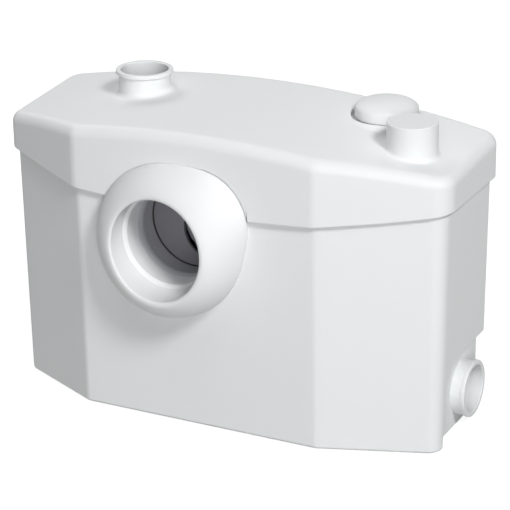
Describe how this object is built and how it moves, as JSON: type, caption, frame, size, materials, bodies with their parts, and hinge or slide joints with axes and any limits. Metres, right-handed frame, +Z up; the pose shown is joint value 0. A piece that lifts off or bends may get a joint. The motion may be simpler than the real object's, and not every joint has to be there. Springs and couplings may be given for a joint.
{
  "type": "macerator toilet pump",
  "caption": "Floor-standing macerator pump with a white tank, crowned lid, domed pan socket in front, side and top waste inlets, and a cutter and pump on one vertical motor shaft.",
  "frame": {"origin": "on the floor under the middle of the case", "axes": "+X to the right along the case, +Y to the back, +Z up"},
  "size_m": [0.404, 0.1793, 0.2751],
  "materials": {
    "case_white": "satin moulded",
    "inner_white": "moulded",
    "pale_rubber": "smooth",
    "black_rubber": "matte",
    "grey_plastic": "moulded",
    "steel": "turned",
    "lamination": "stacked sheet",
    "copper_wire": "enamelled",
    "carbon": "granular",
    "black_plastic": "moulded",
    "capacitor_can": "drawn"
  },
  "bodies": {
    "case": {"tank": "case_white", "lid": "case_white", "lid_gasket": "black_rubber", "inlet_collar": "case_white", "inlet_seal": "pale_rubber", "inlet_chute": "grey_plastic", "chute_seal": "black_rubber", "chute_plate": "grey_plastic", "inlet_duct": "grey_plastic", "basket": "inner_white", "pump_casing": "inner_white", "pump_base": "inner_white", "base_screws": "steel", "tie_bolts": "steel", "motor_housing": "grey_plastic", "motor_cap": "grey_plastic", "motor_oring": "black_rubber", "cap_screws": "steel", "stator_core": "lamination", "stator_windings": "copper_wire", "upper_bearing": "steel", "lower_bearing": "steel", "shaft_seal": "black_rubber", "terminal_block": "inner_white", "discharge_pipe": "inner_white", "valve_body": "inner_white", "valve_pin": "steel", "outlet_tube": "inner_white", "outlet_seal": "black_rubber", "outlet_cap": "case_white", "vent_cap": "case_white", "vent_filter": "carbon", "right_spigot": "case_white", "right_spigot_seal": "black_rubber", "right_flap_pin": "steel", "left_spigot": "case_white", "left_spigot_seal": "black_rubber", "left_flap_pin": "steel", "control_tray": "inner_white", "air_tube": "inner_white", "membrane": "black_rubber", "switch_housing": "grey_plastic", "microswitch": "black_plastic", "capacitor": "capacitor_can", "capacitor_saddle": "grey_plastic", "cable_gland": "black_rubber"},
    "rotor": {"rotor_core": "lamination", "motor_shaft": "steel", "cutter_blade": "steel", "blade_hub": "steel", "impeller": "grey_plastic", "impeller_screw": "steel"},
    "right_flap": {"right_flap": "black_rubber"},
    "left_flap": {"left_flap": "black_rubber"},
    "valve_flap": {"valve_flap": "black_rubber"},
    "plunger": {"plunger": "inner_white"},
    "switch_lever": {"switch_lever": "steel"}
  },
  "joints": [
    {"name": "rotor_spin", "type": "hinge", "parent": "case", "child": "rotor", "pos_m": [0.078, 0.002, 0.1], "axis": [0, 0, 1], "continuous": true},
    {"name": "right_flap_swing", "type": "hinge", "parent": "case", "child": "right_flap", "pos_m": [0.17585, 0.0346, 0.061], "axis": [0, 1, 0], "range_deg": [0, 40]},
    {"name": "left_flap_swing", "type": "hinge", "parent": "case", "child": "left_flap", "pos_m": [-0.17585, 0.0346, 0.061], "axis": [0, -1, 0], "range_deg": [0, 40]},
    {"name": "valve_flap_swing", "type": "hinge", "parent": "case", "child": "valve_flap", "pos_m": [0.1441, -0.0086, 0.1656], "axis": [0, -1, 0], "range_deg": [0, 55]},
    {"name": "plunger_slide", "type": "slide", "parent": "case", "child": "plunger", "axis": [0, 0, 1], "range_m": [0, 0.0015], "stiffness_N_per_m": 10, "deforming": ["membrane"]},
    {"name": "switch_lever_tilt", "type": "hinge", "parent": "case", "child": "switch_lever", "pos_m": [-0.136, -0.0055, 0.2153], "axis": [0, 1, 0], "range_deg": [0, 7.5]}
  ],
  "couplings": [
    {"joint": "switch_lever_tilt", "follows": "plunger_slide", "rad_per_m": 83.333}
  ]
}
